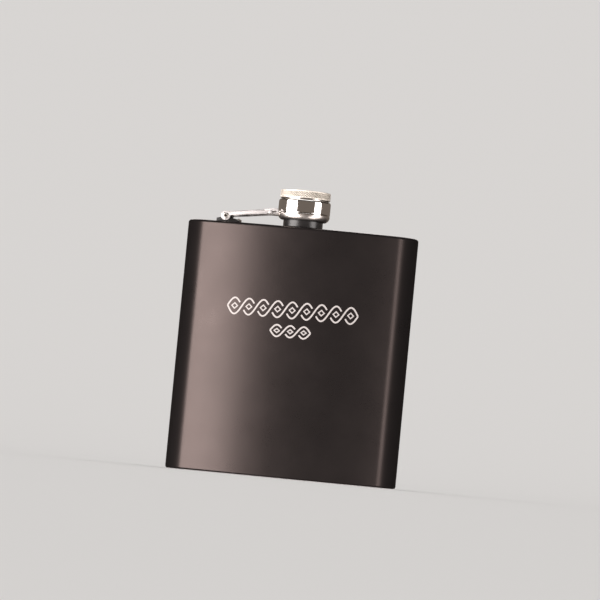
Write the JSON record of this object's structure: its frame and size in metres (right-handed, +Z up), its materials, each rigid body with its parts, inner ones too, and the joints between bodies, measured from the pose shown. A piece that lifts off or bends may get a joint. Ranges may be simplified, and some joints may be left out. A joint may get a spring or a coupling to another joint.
{
  "type": "hip flask",
  "caption": "Black-coated curved steel hip flask with a threaded neck, a knurled screw cap turning in a polished sleeve, and a hinged link arm that keeps the cap on.",
  "frame": {"origin": "centre of the footprint, on the surface the flask stands on", "axes": "+Z up through the neck, -Y out of the convex front, the link arm on the -X side"},
  "size_m": [0.092, 0.0242, 0.1139],
  "materials": {
    "black_coat": "satin black powder coat on stainless steel",
    "bracket_coat": "satin black powder coat, worn bright on its edges",
    "neck_steel": "black powder coat on the collar, bare steel on the thread and in the bore",
    "polished_steel": "mirror-polished stainless steel",
    "knurled_steel": "diamond-knurled rim and turned top, bright stainless steel",
    "arm_steel": "bright stamped stainless steel",
    "rivet_steel": "peened stainless steel",
    "insert_steel": "turned stainless steel",
    "liner": "natural polyethylene seal"
  },
  "bodies": {
    "flask": {"front_shell": "black_coat", "back_shell": "black_coat", "top_plate": "black_coat", "base_plate": "black_coat", "neck_spout": "neck_steel", "hinge_bracket": "bracket_coat", "hinge_rivet": "rivet_steel"},
    "arm": {"link_arm": "arm_steel"},
    "pin": {"slot_pin": "rivet_steel"},
    "sleeve": {"swivel_sleeve": "polished_steel", "sleeve_lug": "arm_steel"},
    "cap": {"cap_head": "knurled_steel", "cap_insert": "insert_steel", "cap_liner": "liner"}
  },
  "joints": [
    {"name": "arm_hinge", "type": "hinge", "parent": "flask", "child": "arm", "pos_m": [-0.0304, -0.0018, 0.1015], "axis": [0, -1, 0], "range_deg": [0, 100]},
    {"name": "slot_slide", "type": "slide", "parent": "arm", "child": "pin", "axis": [0.9866, 0, 0.1633], "range_m": [0, 0.0022]},
    {"name": "sleeve_pivot", "type": "hinge", "parent": "pin", "child": "sleeve", "pos_m": [-0.0128, -0.0018, 0.10441], "axis": [0, -1, 0], "range_deg": [-100, 0]},
    {"name": "cap_turn", "type": "hinge", "parent": "sleeve", "child": "cap", "pos_m": [0, -0.0018, 0.1062], "axis": [0, 0, 1], "range_deg": [0, 4475]}
  ],
  "couplings": [
    {"joint": "arm_hinge", "follows": "slot_slide", "rad_per_m": 793.33},
    {"joint": "sleeve_pivot", "follows": "slot_slide", "rad_per_m": -793.33},
    {"joint": "cap_turn", "follows": "slot_slide", "rad_per_m": 35502}
  ]
}
